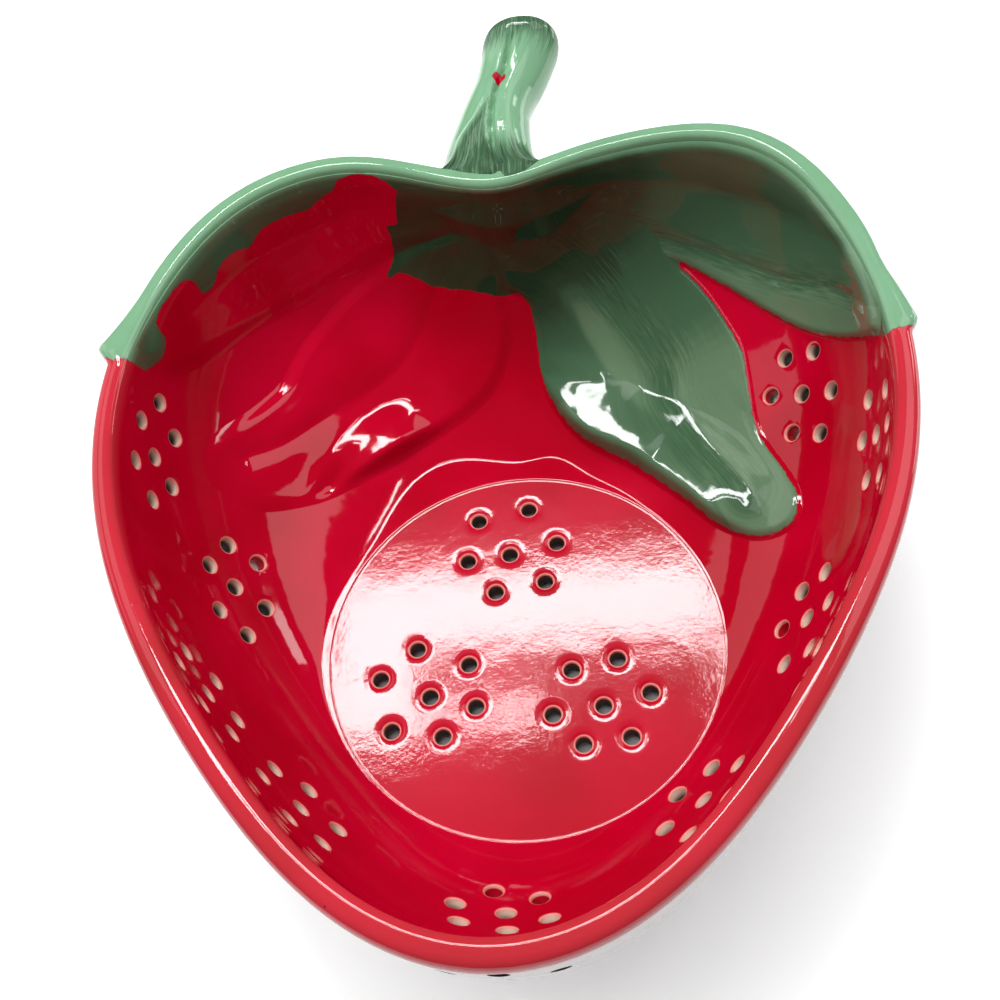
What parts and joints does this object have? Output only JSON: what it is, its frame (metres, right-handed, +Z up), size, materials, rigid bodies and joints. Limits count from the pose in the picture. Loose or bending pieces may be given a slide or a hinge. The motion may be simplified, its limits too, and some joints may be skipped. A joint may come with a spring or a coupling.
{
  "type": "berry colander bowl",
  "caption": "Strawberry-shaped earthenware colander bowl with clusters of drain holes, a rolled lip, relief leaves inside and a curved stem handle.",
  "frame": {"origin": "centre of the bounding box on the plane the foot ring stands on", "axes": "+Y towards the stem, +Z up, +X to the right seen from the bowl's pointed tip"},
  "size_m": [0.198, 0.251, 0.0839],
  "materials": {
    "red_glaze": "glossy red glaze inside, white glaze outside",
    "green_glaze": "glossy brushed green glaze",
    "bare_clay": "unglazed wiped foot"
  },
  "bodies": {
    "root": {"bowl_wall": "red_glaze", "bowl_floor": "red_glaze", "foot_ring": "bare_clay", "red_lip": "red_glaze", "calyx_lip": "green_glaze", "crown": "green_glaze", "leaf_right_rim": "green_glaze", "leaf_centre": "green_glaze", "leaf_left_rim": "green_glaze", "leaf_left": "red_glaze", "stem_handle": "green_glaze"}
  },
  "joints": []
}
